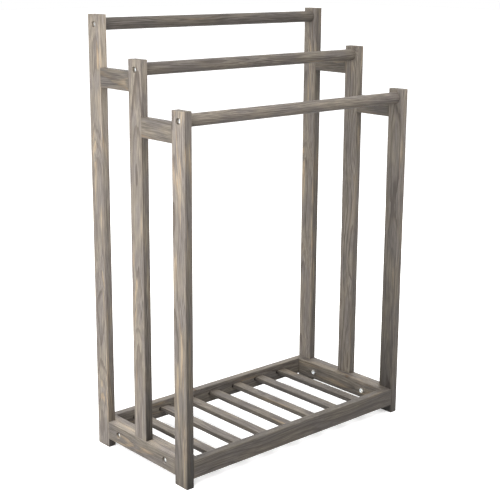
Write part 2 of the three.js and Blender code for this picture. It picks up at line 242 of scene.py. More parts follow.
def dowel_hole(node):
    """The hole for a dowel, in both of the pieces that it joins."""
    low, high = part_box(node)
    axis = long_axis(low, high)
    reach = (high - low)[axis] / 2 + DOWEL_END_GAP
    direction = [float(i == axis) for i in range(3)]
    profile = [(DOWEL_HOLE, -reach), (DOWEL_HOLE, reach)]
    return drill(profile, centre_of(node), direction, DOWEL_HOLE_SIDES)


def side_face(node, sign):
    """Where a piece's face stands: the right one for a sign of 1, and the left one for -1."""
    low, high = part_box(node)
    return high.x if sign > 0 else low.x


def sunk_hole(sign, at, seat, depth, hole, length):
    """A seat for a head, its mouth eased, and a plain hole for the shank. It starts from the seat's
    floor and runs outwards through the depth and inwards through the length."""
    profile = [
        (hole, -length),
        (hole, 0),
        (seat, 0),
        (seat, depth - MOUTH_EASE),
        (seat + MOUTH_EASE + OVERCUT, depth + OVERCUT),
    ]
    return drill(profile, at, (sign, 0, 0))


def bar_screw_hole(side, row):
    """Runs from the post's outer face into the end of the towel bar."""
    sign = SIDES[side]
    middle = centre_of(f"{side}_{row}_bar_screw")
    at = (side_face(f"{side}_{row}_post", sign) - sign * SCREW_SEAT_DEPTH, middle.y, middle.z)
    return sunk_hole(sign, at, SCREW_SEAT_RADIUS, SCREW_SEAT_DEPTH, SCREW_HOLE, SCREW_LENGTH)


def log_place(name, **chosen):
    """Where in its log a board was sawn, how it took the wash, and the light and shade painted on its
    faces. tone is its lightness; front and side are painted shade and light on single faces, set at
    their foot and their head, and top is painted light or shade on the upper face. tan is how much bare
    tan shows in its grain, and knots how many knots there are, from 0 to 1."""
    pick = random.Random(name)
    place = {
        "pith": pick.uniform(0.035, 0.075),
        "bark_side": pick.uniform(-0.5, 0.5) + pick.choice((0, math.pi)),
        "runout": (pick.uniform(-0.03, 0.03), pick.uniform(-0.02, 0.02)),
        "wander": pick.uniform(0.0008, 0.0024),
        "wave": pick.uniform(0.22, 0.45),
        "shift": pick.uniform(0, 30),
        "tone": pick.uniform(0.92, 1.08),
        "front": (1.0, 1.0),
        "side": (1.0, 1.0),
        "top": 1.0,
        "tan": pick.uniform(0.25, 0.75),
        "knots": pick.uniform(0.1, 0.3),
    }
    place.update(chosen)
    return place


SOAK_REACH = 0.012  # how far up the grain an end drinks the wash
# Painted light and shade: how a face's painted tone climbs from its foot to its head.
PAINTED_SHADE_RISE = 0.6  # below 1, a face's tone changes fastest near its foot


def write_points(mesh, name, values):
    """Writes one number, or three, at each point of a mesh."""
    values = np.asarray(values, np.float32)
    kind, field = ("FLOAT", "value") if values.ndim == 1 else ("FLOAT_VECTOR", "vector")
    mesh.attributes.new(name, kind, "POINT").data.foreach_set(field, values.ravel())


def lay_in_log(mesh, low, high, place, edged=True):
    """Writes each point's place in the log, from which the finish draws its growth rings, how
    the wash lies there, and the light and shade painted on its faces. Only an edged piece has long
    edges to be rubbed pale."""
    axes = grain_axes(low, high)
    centre = (low + high) / 2
    half = np.array([(high - low)[axis] / 2 for axis in axes])
    points = np.array([vertex.co for vertex in mesh.vertices])
    local = np.stack([points[:, axis] - centre[axis] for axis in axes], 1)
    flat_sawn = 0 if half[0] < half[1] else math.pi / 2
    turn = place["bark_side"] + flat_sawn
    towards = np.array((math.cos(turn), math.sin(turn)))
    across = np.array((towards[1], -towards[0]))
    wander = local[:, 2] / place["wave"] + place["shift"]
    wander = place["wander"] * np.sin(2 * math.pi * wander)
    runout = np.outer(local[:, 2], place["runout"])
    from_pith = local[:, :2] - (towards * place["pith"] + runout + np.outer(wander, towards))
    log = (-from_pith @ towards, -from_pith @ across, local[:, 2] + place["shift"])
    write_points(mesh, "log", np.stack(log, 1))
    normals = np.array([vertex.normal for vertex in mesh.vertices])
    height = np.clip((points[:, 2] - low.z) / (high.z - low.z), 0, 1) ** PAINTED_SHADE_RISE
    every = np.ones(len(points))
    tone = place["tone"] * every
    # Painted light and shade: the front, side and top faces get their tone scaled from foot to head,
    # standing in for how light falls on them.
    faces = (
        (-normals[:, 1], place["front"]),
        (np.abs(normals[:, 0]), place["side"]),
        (normals[:, 2], (place["top"], place["top"])),
    )
    for facing, (foot, head) in faces:
        tone *= 1 + (foot + (head - foot) * height - 1) * np.clip(facing, 0, 1) ** 2
    write_points(mesh, "board", np.stack((tone, place["tan"] * every, place["knots"] * every), 1))
    write_points(mesh, "edge", edge_closeness(local, half) * edged)
    write_points(mesh, "soak", np.clip(1 - (half[2] - np.abs(local[:, 2])) / SOAK_REACH, 0, 1))
    write_points(mesh, "end_grain", np.clip(np.abs(normals[:, axes[2]]) * 2 - 0.9, 0, 1))


# Shader steps. A value, or another step's output, can feed any input.

def step(tree, kind, inputs=None, **settings):
    made = tree.nodes.new("ShaderNode" + kind)
    for option, value in settings.items():
        setattr(made, option, value)
    for socket, source in (inputs or {}).items():
        if isinstance(source, bpy.types.NodeSocket):
            tree.links.new(source, made.inputs[socket])
        else:
            made.inputs[socket].default_value = source
    return made


def calc(tree, operation, *values):
    return step(tree, "Math", dict(enumerate(values)), operation=operation).outputs[0]


def scaled(tree, vector, x, y, z):
    return step(tree, "VectorMath", {0: vector, 1: (x, y, z)}, operation="MULTIPLY").outputs[0]


def plus(tree, first, second):
    return calc(tree, "ADD", first, second)


def minus(tree, first, second):
    return calc(tree, "SUBTRACT", first, second)


def times(tree, first, second):
    return calc(tree, "MULTIPLY", first, second)


def speckle(tree, vector, counts, detail=2.0, roughness=0.5):
    """Soft noise with so many features to a metre: a count across the grain and one along it."""
    across, along = counts
    feeds = {"Vector": scaled(tree, vector, across, across, along), "Scale": 1.0}
    feeds.update({"Detail": detail, "Roughness": roughness})
    return step(tree, "TexNoise", feeds).outputs["Fac"]


def jogged(tree, value, chance, most):
    """A value moved up or down by chance, through a range of most."""
    return plus(tree, value, times(tree, minus(tree, chance, 0.5), most))


def smooth_range(tree, value, low, high, new_low=0.0, new_high=1.0):
    feeds = {"Value": value, "From Min": low, "From Max": high}
    feeds.update({"To Min": new_low, "To Max": new_high})
    return step(tree, "MapRange", feeds, interpolation_type="SMOOTHSTEP").outputs[0]


def blend(tree, amount, first, second, how="MIX"):
    feeds = {0: amount, 6: first, 7: second}
    return step(tree, "Mix", feeds, data_type="RGBA", blend_type=how, clamp_factor=True).outputs[2]


def shaded(tree, colour, level):
    """A colour made darker or lighter by a level."""
    grey = step(tree, "CombineColor", {0: level, 1: level, 2: level}).outputs[0]
    return blend(tree, 1.0, colour, grey, "MULTIPLY")


def written(tree, name, output="Fac"):
    """What was written at each point of a mesh."""
    return step(tree, "Attribute", attribute_name=name).outputs[output]


def new_finish(name):
    material = bpy.data.materials.new(name)
    material.use_nodes = True
    tree = material.node_tree
    return material, tree, tree.nodes["Principled BSDF"]


def raise_grain(tree, surface, height, strength, depth):
    """Gives a surface its fine relief."""
    bump = step(tree, "Bump", {"Height": height, "Strength": strength, "Distance": depth})
    tree.links.new(bump.outputs[0], surface.inputs["Normal"])


def stain(red, green, blue):
    """A colour chip's 0 to 255 values as the light it reflects."""
    light = [((value / 255 + 0.055) / 1.055) ** 2.4 for value in (red, green, blue)]
    return (*light, 1.0)


COOL_WASH = stain(126, 119, 113)
WARM_WASH = stain(127, 119, 108)
DEEP_WASH = stain(82, 75, 68)
DARK_LINE = stain(74, 65, 58)
BARE_TAN = stain(154, 132, 108)
BARE_CREAM = stain(152, 140, 121)
KNOT_HEART = stain(104, 78, 58)
KNOT_RIM = stain(60, 48, 40)
END_SOAK = stain(104, 96, 87)

RING_WIDTH = 0.0031
RING_SWAY = 0.006  # long bends in the rings
RING_QUIVER = 0.0011  # and short ones
GOOD_YEARS = 110.0  # runs of wide and narrow years, to a metre
YEAR_SHIFT = 2.2  # how many years such a run moves the rings by
KNOT_EVERY = 0.17  # along the log
KNOT_TURN = 0.55  # round the log, in radians
KNOT_RADIUS = 0.0022  # of the smallest knot
KNOT_SPREAD = 0.0035  # how much bigger the largest can be
KNOT_LENGTH = 0.75  # below 1, knots are longer along the grain
KNOT_RAGGED = 0.0022  # how uneven a knot's rim is
KNOT_PUSH = 0.013  # how far the rings bend out at a knot
KNOT_GRIP = 85.0  # how fast that dies away, to a metre

# Features to a metre, across the grain and along it.
SWAYS = (34, 5)
QUIVERS = (230, 22)
KNOT_RAGS = (260, 160)
FIBRES = (950, 22)
STREAKS = (560, 15)
PATCHES = (45, 13)
FLAMES = (60, 7)
PORES = (1500, 60)


def knot_field(tree, log, radius, knots):
    """How much of a point is knot, how far in from the nearest knot's rim it is, how far that knot
    pushes the rings out, and whether the knot is there at all."""
    parts = step(tree, "SeparateXYZ", {0: log})
    turn = calc(tree, "ARCTAN2", parts.outputs[1], parts.outputs[0])
    cell = step(tree, "CombineXYZ", {
        0: calc(tree, "DIVIDE", turn, KNOT_TURN),
        1: calc(tree, "DIVIDE", parts.outputs[2], KNOT_EVERY),
    }).outputs[0]
    feeds = {"Vector": cell, "Scale": 1.0, "Randomness": 0.9}
    nearest = step(tree, "TexVoronoi", feeds, voronoi_dimensions="2D")
    spot = step(tree, "SeparateXYZ", {0: nearest.outputs["Position"]})
    luck = step(tree, "SeparateColor", {0: nearest.outputs["Color"]})
    round_log = minus(tree, turn, times(tree, spot.outputs[0], KNOT_TURN))
    round_log = times(tree, round_log, radius)
    up_log = minus(tree, parts.outputs[2], times(tree, spot.outputs[1], KNOT_EVERY))
    up_log = times(tree, up_log, KNOT_LENGTH)
    squares = [calc(tree, "POWER", side, 2.0) for side in (round_log, up_log)]
    away = calc(tree, "SQRT", plus(tree, *squares))
    away = jogged(tree, away, speckle(tree, log, KNOT_RAGS), KNOT_RAGGED)
    size = calc(tree, "MULTIPLY_ADD", luck.outputs[1], KNOT_SPREAD, KNOT_RADIUS)
    there = calc(tree, "LESS_THAN", luck.outputs[2], knots)
    inside = minus(tree, 1.0, calc(tree, "DIVIDE", away, size))
    push = calc(tree, "EXPONENT", times(tree, away, -KNOT_GRIP))
    push = times(tree, times(tree, push, KNOT_PUSH), there)
    return times(tree, smooth_range(tree, inside, -0.05, 0.15), there), inside, push, there


def growth_rings(tree, log, knots):
    """How far through its year each point grew, how much hard late wood it is, and its knot."""
    flat = scaled(tree, log, 1, 1, 0)
    radius = step(tree, "VectorMath", {0: flat}, operation="LENGTH").outputs["Value"]
    radius = jogged(tree, radius, speckle(tree, log, SWAYS), RING_SWAY)
    radius = jogged(tree, radius, speckle(tree, log, QUIVERS), RING_QUIVER)
    knot, knot_depth, push, there = knot_field(tree, log, radius, knots)
    radius = minus(tree, radius, push)
    feeds = {"W": times(tree, radius, GOOD_YEARS), "Scale": 1.0, "Detail": 1.0}
    lean_years = step(tree, "TexNoise", feeds, noise_dimensions="1D").outputs["Fac"]
    years = plus(tree, calc(tree, "DIVIDE", radius, RING_WIDTH), times(tree, lean_years, YEAR_SHIFT))
    season = calc(tree, "FRACT", years)
    feeds = {"W": calc(tree, "FLOOR", years)}
    year = step(tree, "TexWhiteNoise", feeds, noise_dimensions="1D").outputs["Value"]
    late = smooth_range(tree, season, 0.5, 0.92)
    late = times(tree, late, smooth_range(tree, season, 1.0, 0.96))
    hard = times(tree, late, calc(tree, "MULTIPLY_ADD", year, 0.65, 0.35))
    return season, hard, knot, knot_depth, there


def washed_pine(name, lightness=1.0, dullness=0.66):
    """Grey wash over pine: growth rings, knots, fibres, rubbed edges and thirsty end grain, with the
    light and shade painted on each face through its tone. Its dullness is the roughness that the fibres
    and the hard late wood then vary."""
    material, tree, surface = new_finish(name)
    log = written(tree, "log", "Vector")
    board = step(tree, "SeparateXYZ", {0: written(tree, "board", "Vector")})
    # tone holds the board's lightness and the light and shade painted on its faces.
    tone, tan, knots = board.outputs
    season, hard, knot, knot_depth, there = growth_rings(tree, log, knots)
    fibres = speckle(tree, log, FIBRES, 3.0, 0.6)
    streaks = speckle(tree, log, STREAKS, 3.0, 0.65)
    patches = speckle(tree, log, PATCHES)
    flames = speckle(tree, log, FLAMES, 1.0)
    pores = speckle(tree, log, PORES, 1.0)

    # The wash, the dark line that ends each year, and bare wood showing in flames beside it.
    colour = blend(tree, smooth_range(tree, patches, 0.38, 0.62), COOL_WASH, WARM_WASH)
    colour = blend(tree, smooth_range(tree, streaks, 0.42, 0.66, 0.0, 0.66), colour, DEEP_WASH)
    colour = blend(tree, times(tree, hard, 0.85), colour, DARK_LINE)
    shows = smooth_range(tree, calc(tree, "MULTIPLY_ADD", tan, 0.25, flames), 0.7, 0.82)
    bare = blend(tree, smooth_range(tree, streaks, 0.4, 0.65), BARE_CREAM, BARE_TAN)
    crown = smooth_range(tree, season, 0.3, 0.6)
    crown = times(tree, crown, smooth_range(tree, season, 1.0, 0.9))
    colour = blend(tree, times(tree, times(tree, crown, shows), 0.8), colour, bare)
    colour = shaded(tree, colour, smooth_range(tree, fibres, 0.34, 0.66, 0.7, 1.34))
    colour = blend(tree, smooth_range(tree, pores, 0.66, 0.8, 0.0, 0.55), colour, DEEP_WASH)

    # Knots, each in a dark halo.
    halo = times(tree, smooth_range(tree, knot_depth, -1.6, 0.0, 0.0, 0.55), there)
    colour = blend(tree, halo, colour, DARK_LINE)
    knot_wood = blend(tree, smooth_range(tree, knot_depth, 0.05, 0.35), KNOT_RIM, KNOT_HEART)
    colour = blend(tree, times(tree, knot, 0.85), colour, knot_wood)

    # Edges rubbed pale, and ends that drank more of the wash.
    rub = smooth_range(tree, streaks, 0.4, 0.65, 0.05, 0.4)
    rub = times(tree, smooth_range(tree, written(tree, "edge"), 0.35, 1.0), rub)
    colour = blend(tree, rub, colour, BARE_CREAM)
    thirst = smooth_range(tree, fibres, 0.3, 0.7, 0.1, 0.45)
    thirst = times(tree, calc(tree, "POWER", written(tree, "soak"), 2.0), thirst)
    colour = blend(tree, thirst, colour, END_SOAK)
    colour = blend(tree, times(tree, written(tree, "end_grain"), 0.75), colour, END_SOAK)

    # The board's own tone, with the light and shade painted on its faces, a little uneven from place to
    # place.
    uneven = smooth_range(tree, patches, 0.32, 0.68, 0.89, 1.11)
    colour = shaded(tree, colour, times(tree, times(tree, tone, lightness), uneven))
    tree.links.new(colour, surface.inputs["Base Color"])

    rough = plus(tree, smooth_range(tree, fibres, 0.3, 0.7, -0.07, 0.07), dullness)
    rough = minus(tree, rough, times(tree, hard, 0.12))
    tree.links.new(rough, surface.inputs["Roughness"])
    height = plus(tree, times(tree, hard, 0.6), times(tree, fibres, 0.5))
    height = minus(tree, height, smooth_range(tree, pores, 0.64, 0.8, 0.0, 0.5))
    height = plus(tree, height, times(tree, streaks, 0.5))
    raise_grain(tree, surface, height, 0.7, 0.00025)
    surface.inputs["Specular IOR Level"].default_value = 0.3
    return material


SHARP = math.radians(32)  # edges that turn further than this stay crisp


def finish_piece(name, mesh, material, node):
    """Puts a finished piece on the rack in place of its CAD node."""
    mesh.shade_smooth()
    mesh.set_sharp_from_angle(angle=SHARP)
    mesh.materials.clear()
    mesh.materials.append(material)
    piece = bpy.data.objects.new(name, mesh)
    bpy.context.scene.collection.objects.link(piece)
    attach(piece, "root")
    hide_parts(node)


pine = washed_pine("washed_pine")


def make_board(node, cutters=(), arris=ARRIS, **chosen):
    low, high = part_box(node)
    mesh = cut_from(sawn_board(node + "_wood", low, high, arris), cutters)
    lay_in_log(mesh, low, high, log_place(node, **chosen))
    finish_piece(node + "_wood", mesh, pine, node)


# front and side are painted shade and light: they scale a front or side face's tone from its foot to
# its head, painting the feet dark and most heads light.
POST_GRAIN_AND_PAINTED_LIGHT = {
    "left_back": {"tone": 1.06, "front": (0.25, 1.85), "tan": 0.55, "knots": 0.08},
    "left_middle": {"tone": 1.03, "front": (0.2, 1.25), "tan": 0.35, "knots": 0.0},
    "left_front": {
        "tone": 1.03, "front": (0.05, 0.97), "side": (0.48, 1.2), "tan": 0.85, "knots": 0.05,
    },
    "right_back": {"tone": 0.97, "front": (0.75, 0.82), "tan": 0.6, "knots": 0.15},
    "right_middle": {"tone": 0.82, "front": (0.92, 1.35), "tan": 0.35, "knots": 0.15},
    "right_front": {"tone": 0.86, "front": (0.5, 1.67), "side": (0.15, 0.9), "tan": 0.25, "knots": 0.1},
}
POST_DOWELS = {
    "back": ("upper_brace_back", "bottom_rail_back"),
    "middle": ("upper_brace_front", "lower_brace_back", "middle_post"),
    "front": ("lower_brace_front", "bottom_rail_front"),
}
for side in SIDES:
    for row in ROWS:
        holes = [bar_screw_hole(side, row)]
        holes += [dowel_hole(f"{side}_{joint}_dowel") for joint in POST_DOWELS[row]]
        make_board(f"{side}_{row}_post", holes, **POST_GRAIN_AND_PAINTED_LIGHT[f"{side}_{row}"])

# ---- Bottom rails -----------------------------------------------------------------------------
# The foot of each side frame: one board on edge between the front and back posts, dowelled at its
# ends, with the middle post standing on it. Two sunk bolts pass through it to the shelf.

BOLT_SEAT_DEPTH = 0.006
BOLT_SEAT_RADIUS = 0.00675
BOLT_HOLE = 0.0033
ENDS = ("back", "front")


def shelf_bolt_hole(side, end):
    """Runs from the bottom rail's outer face right through the shelf's end rail behind it."""
    sign = SIDES[side]
    middle = centre_of(f"{side}_{end}_shelf_bolt")
    at = (side_face(f"{side}_bottom_rail", sign) - sign * BOLT_SEAT_DEPTH, middle.y, middle.z)
    length = abs(at[0] - side_face(f"shelf_{side}_end_rail", -sign)) + OVERCUT
    return sunk_hole(sign, at, BOLT_SEAT_RADIUS, BOLT_SEAT_DEPTH, BOLT_HOLE, length)


# side and top are painted shade and light: the left rail's sides are painted darker and its top
# lighter, and the right rail's top darker.
RAIL_GRAIN_AND_PAINTED_LIGHT = {
    "left": {"tone": 0.93, "side": (0.72, 0.77), "top": 1.46, "tan": 0.75, "knots": 0.0},
    "right": {"tone": 0.98, "top": 0.83, "tan": 0.4, "knots": 0.2},
}
for side in SIDES:
    holes = [shelf_bolt_hole(side, end) for end in ENDS]
    holes += [dowel_hole(f"{side}_bottom_rail_{end}_dowel") for end in ENDS]
    holes.append(dowel_hole(f"{side}_middle_post_dowel"))
    make_board(f"{side}_bottom_rail", holes, **RAIL_GRAIN_AND_PAINTED_LIGHT[side])

# ---- Braces -----------------------------------------------------------------------------------
# Short boards that tie each post to its neighbour, just below the top of the lower one. They are
# cut from the same timber and dowelled at both ends.

# top is painted light: the upper faces of the lower left and upper right braces are painted lighter.
BRACE_GRAIN_AND_PAINTED_LIGHT = {
    "left_upper": {"tone": 0.6, "top": 1.0, "tan": 1.0, "knots": 0.05},
    "left_lower": {"tone": 0.72, "top": 1.2, "tan": 0.45, "knots": 0.2, "pith": 0.045},
    "right_upper": {"tone": 0.51, "top": 1.1, "tan": 0.5, "knots": 0.1},
    "right_lower": {"tone": 0.5, "top": 1.0, "tan": 0.55, "knots": 0.1},
}
for label, grain in BRACE_GRAIN_AND_PAINTED_LIGHT.items():
    holes = [dowel_hole(f"{label}_brace_{end}_dowel") for end in ENDS]
    make_board(f"{label}_brace", holes, **grain)

# ---- Towel bars -------------------------------------------------------------------------------
# Three turned pine rods, 25 mm across, butted between the posts and screwed through them into
# their end grain. They are washed like the boards but sanded a little smoother.

BAR_SIDES = 72
BAR_ALONG = 0.008
BAR_EASE = 0.0006
TURNING = 0.00008  # ripple left by the lathe
RIPPLES_ROUND = 2  # to the bar's radius
RIPPLES_ALONG = 40  # to a metre


def turned_bar(name, low, high):
    centre = (low + high) / 2
    radius = (high.z - low.z) / 2
    half = (high.x - low.x) / 2
    start = random.Random(name).uniform(0, 50)
    stations = [(-half + BAR_EASE * (1 - math.cos(t)), BAR_EASE * (1 - math.sin(t)))
                for t in np.linspace(0, math.pi / 2, END_STEPS + 1)]
    count = round(2 * half / BAR_ALONG)
    middle = [((-half + BAR_EASE) * (1 - 2 * i / count), 0.0) for i in range(1, count)]
    stations += middle + [(-place, inset) for place, inset in reversed(stations)]
    rings = []
    for place, inset in stations:
        ring = []
        for i in range(BAR_SIDES):
            angle = 2 * math.pi * i / BAR_SIDES
            across, up = math.cos(angle), math.sin(angle)
            spot = (across * RIPPLES_ROUND, up * RIPPLES_ROUND, place * RIPPLES_ALONG + start)
            reach = radius - inset - TURNING * (0.5 + 0.5 * noise.noise(Vector(spot)))
            ring.append((place + centre.x, reach * across + centre.y, reach * up + centre.z))
        rings.append(ring)
    return rings_to_mesh(name, rings)


bar_pine = washed_pine("washed_bar_pine", lightness=0.98, dullness=0.68)
BAR_GRAIN = {
    "back": {"tone": 0.68, "tan": 0.2, "knots": 0.12, "pith": 0.03},
    "middle": {"tone": 0.84, "tan": 0.15, "knots": 0.1, "pith": 0.04},
    "front": {"tone": 1.04, "tan": 0.15, "knots": 0.1, "pith": 0.035},
}
for row in ROWS:
    node = f"{row}_towel_bar"
    low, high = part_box(node)
    holes = [bar_screw_hole(side, row) for side in SIDES]
    mesh = cut_from(turned_bar(node + "_rod", low, high), holes)
    lay_in_log(mesh, low, high, log_place(node, **BAR_GRAIN[row]), edged=False)
    finish_piece(node + "_rod", mesh, bar_pine, node)

# ---- Shelf frame ------------------------------------------------------------------------------
# A long rail at the front and one at the back, with a row of round-ended mortises routed in their
# inner faces for the slats, and an end rail at each side dowelled between them.

SLAT_COUNT = 7
MORTISE_DEPTH = 0.008
MORTISE_FIT = 0.0003
MORTISE_END_STEPS = 8


def mortise(slat_node, inner_face, into):
    """A routed slot as (points, faces): as high as the slat is thick, with a half round past
    each of the slat's edges, running from outside the rail's inner face into the rail."""
    low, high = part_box(slat_node)
    middle_z = (low.z + high.z) / 2
    radius = (high.z - low.z) / 2 + MORTISE_FIT
    outline = []
    for x, start in ((high.x, -math.pi / 2), (low.x, math.pi / 2)):
        for i in range(MORTISE_END_STEPS + 1):
            turn = start + math.pi * i / MORTISE_END_STEPS
            outline.append((x + radius * math.cos(turn), middle_z + radius * math.sin(turn)))
    ys = sorted((inner_face - into * OVERCUT, inner_face + into * MORTISE_DEPTH))
    count = len(outline)
    points = [(x, y, z) for y in ys for x, z in outline]
    faces = [tuple(range(count)), tuple(reversed(range(count, 2 * count)))]
    for i in range(count):
        k = (i + 1) % count
        faces.append((i, count + i, count + k, k))
    return points, faces


INTO_RAIL = {"front": -1, "back": 1}  # a mortise with 1 runs towards the back
# top and front are painted shade and light: the front rail's top is painted darker, the back rail's
# front face darker toward its foot, and its top a little lighter.
LONG_RAIL_GRAIN_AND_PAINTED_LIGHT = {
    "front": {"tone": 0.63, "top": 0.92, "tan": 0.05, "knots": 0.0},
    "back": {"tone": 0.86, "front": (0.66, 0.88), "top": 1.03, "tan": 0.5, "knots": 0.35},
}
for end, into in INTO_RAIL.items():
    low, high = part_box(f"shelf_{end}_rail")
    inner_face = low.y if into > 0 else high.y
    holes = [mortise(f"shelf_slat_{i + 1}", inner_face, into) for i in range(SLAT_COUNT)]
    holes += [dowel_hole(f"shelf_{side}_end_rail_{end}_dowel") for side in SIDES]
    make_board(f"shelf_{end}_rail", holes, **LONG_RAIL_GRAIN_AND_PAINTED_LIGHT[end])

# side and top are painted light and shade: the left end rail's top is a little lighter, and the right
# end rail's sides and top are darker.
END_RAIL_GRAIN_AND_PAINTED_LIGHT = {
    "left": {"tone": 1.0, "top": 1.04, "tan": 0.3, "knots": 0.1},
    "right": {"tone": 0.82, "side": (0.58, 0.75), "top": 0.73, "tan": 0.8, "knots": 0.2},
}
for side in SIDES:
    holes = [shelf_bolt_hole(side, end) for end in ENDS]
    holes += [dowel_hole(f"shelf_{side}_end_rail_{end}_dowel") for end in ENDS]
    make_board(f"shelf_{side}_end_rail", holes, **END_RAIL_GRAIN_AND_PAINTED_LIGHT[side])

# ---- Shelf slats ------------------------------------------------------------------------------
# Thin strips with rounded edges that lie loose in their mortises, front to back, set well below
# the top of the frame.

SLAT_ARRIS = 0.0012
SLAT_TONES = (0.84, 0.96)
SLAT_DARKER = 0.04  # than the slat before
# side is painted shade: each slat's sides are painted darker, most of all toward their foot.
SLAT_GRAIN_AND_PAINTED_SHADE = {"side": (0.5, 0.7), "tan": 0.45, "knots": 0.08}
for i in range(SLAT_COUNT):
    shade = random.Random(f"slat {i}").uniform(*SLAT_TONES) - SLAT_DARKER * i
    make_board(f"shelf_slat_{i + 1}", arris=SLAT_ARRIS, tone=shade, **SLAT_GRAIN_AND_PAINTED_SHADE)

# ---- Dowels -----------------------------------------------------------------------------------
# Fluted beech pins, glued into every butt joint. They are bevelled at both ends and out of sight
# once the frame is together.

FLUTES = 16
FLUTE_POINTS = 4
FLUTE_DEPTH = 0.00025
DOWEL_BEVEL = 0.0009


def fluted_dowel(name, low, high):
    """A pin with grooves all round, bevelled at both ends."""
    size = high - low
    axis = long_axis(low, high)
    centre = (low + high) / 2
    radius = min(size) / 2
    half = size[axis] / 2
    turn = turned_to([float(i == axis) for i in range(3)])
    stations = [(-half, DOWEL_BEVEL), (-half + DOWEL_BEVEL * 1.5, 0)]
    stations += [(-half * 0.5 + half * 0.5 * i, 0) for i in range(3)]
    stations += [(half - DOWEL_BEVEL * 1.5, 0), (half, DOWEL_BEVEL)]
    rings = []
    count = FLUTES * FLUTE_POINTS
    for place, inset in stations:
        ring = []
        for i in range(count):
            angle = 2 * math.pi * i / count
            groove = FLUTE_DEPTH * (0.5 - 0.5 * math.cos(FLUTES * angle))
            ring.append(round_point(turn, centre, radius - inset - groove, angle, place))
        rings.append(ring)
    return rings_to_mesh(name, rings)


BEECH, BEECH_DARK, BEECH_FLECK = stain(206, 172, 128), stain(182, 142, 98), stain(140, 98, 62)


def plain_beech(name):
    material, tree, surface = new_finish(name)
    log = written(tree, "log", "Vector")
    grain = speckle(tree, log, (700, 60), 3.0)
    flecks = speckle(tree, log, (1600, 420), 1.0)
    colour = blend(tree, smooth_range(tree, grain, 0.3, 0.7), BEECH, BEECH_DARK)
    colour = blend(tree, smooth_range(tree, flecks, 0.6, 0.75, 0.0, 0.6), colour, BEECH_FLECK)
    tree.links.new(colour, surface.inputs["Base Color"])
    tree.links.new(smooth_range(tree, grain, 0.3, 0.7, 0.6, 0.75), surface.inputs["Roughness"])
    raise_grain(tree, surface, grain, 0.5, 0.0001)
    return material


beech = plain_beech("plain_beech")
for node in sorted(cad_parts):
    if node.endswith("_dowel"):
        low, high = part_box(node)
        mesh = fluted_dowel(node + "_pin", low, high)
        lay_in_log(mesh, low, high, log_place(node))
        finish_piece(node + "_pin", mesh, beech, node)

# ---- Bar screws -------------------------------------------------------------------------------
# Zinc-plated pan-head wood screws with a cross recess, driven through each post into the end of a
# towel bar. The head sits in a hole a few millimetres below the face.

SCREW_RADIUS = 0.0025
SCREW_CORE = 0.0018
SCREW_PITCH = 0.0022
SCREW_TIP = 0.007
SCREW_HEAD_RADIUS = 0.0048
SCREW_HEAD_HEIGHT = 0.0031
SCREW_RIM = 0.0012
PLAIN_SHANK = 0.016
THREAD_SIDES = 16
THREAD_STEPS = 5  # rings to each turn of a thread
HEAD_SIDES = 64
DOME_STEPS = 12
CROSS_WIDTH = 0.0050
CROSS_BLADE = 0.0012
CROSS_DEPTH = 0.0022
CROSS_TAPER = 0.45  # the cross is this much of its full size at its floor
CREST_WIDTH = 0.28  # half a thread's width at its foot, as part of its pitch
RUN_OUT = 0.0004  # length over which a shank changes from one shape to the next
PLAIN_EXTRA = 0.0003  # the plain shank's radius over the thread's core
UNDER_HEAD = 0.0001  # a shank stops this far below its head's seat
HEAD_EDGE = 0.97  # a head's radius at its seat, as part of its full radius
HEAD_DIP = 0.0003  # how far a screw head's underside dips in the middle
DIP_WIDTH = 0.4  # radius of that dip's floor, as part of the head's
SCREW_BREAK = 0.0002  # height of the broken edge at the seat
CROWN_FLAT = 0.02  # the tip of a dome is flat over this part of its radius
BLUNT_TIP = 0.04  # a point is this thick at its end, as part of the full thread


ZINC_BLUE, ZINC_STRAW, ZINC_DULL = stain(214, 220, 226), stain(228, 224, 212), stain(160, 164, 168)


def zinc_plate(name):
    """Bright zinc plating: a fine crystal mottle, with faint blue and straw tints."""
    material, tree, surface = new_finish(name)
    place = step(tree, "TexCoord").outputs["Object"]
    mottle = speckle(tree, place, (900, 900), 3.0)
    tint = speckle(tree, place, (160, 160), 1.0)
    crystals = step(tree, "TexVoronoi", {"Vector": place, "Scale": 1400.0}).outputs["Distance"]
    colour = blend(tree, smooth_range(tree, tint, 0.35, 0.65), ZINC_BLUE, ZINC_STRAW)
    colour = blend(tree, smooth_range(tree, mottle, 0.5, 0.75, 0.0, 0.35), colour, ZINC_DULL)
    tree.links.new(colour, surface.inputs["Base Color"])
    tree.links.new(smooth_range(tree, mottle, 0.3, 0.7, 0.24, 0.42), surface.inputs["Roughness"])
    raise_grain(tree, surface, plus(tree, mottle, times(tree, crystals, 0.4)), 0.25, 0.00008)
    surface.inputs["Metallic"].default_value = 1.0
    return material


def helix_reach(core, crest, pitch, angle, place):
    """Radius of a thread: a sharp crest that winds round the core."""
    phase = (place / pitch - angle / (2 * math.pi)) % 1.0
    return core + (crest - core) * max(0.0, 1 - abs(phase - 0.5) / CREST_WIDTH)


def dome_stations(radius, rim, height):
    """(place, radius) steps from the edge of a head's rim over its crown."""
    steps = [(rim + (height - rim) * math.sin(t), radius * math.cos(t))
             for t in np.linspace(0, math.pi / 2, DOME_STEPS + 1)[:-1]]
    return steps + [(height, radius * CROWN_FLAT)]


def turned_metal(name, at, direction, stations, sides):
    """Skins (place, radius) stations along a direction; a radius may be a function of the angle."""
    turn = turned_to(direction)
    rings = []
    for place, radius in stations:
        ring = []
        for i in range(sides):
            angle = 2 * math.pi * i / sides
            reach = radius(angle) if callable(radius) else radius
            ring.append(round_point(turn, at, reach, angle, place))
        rings.append(ring)
    return rings_to_mesh(name, rings)


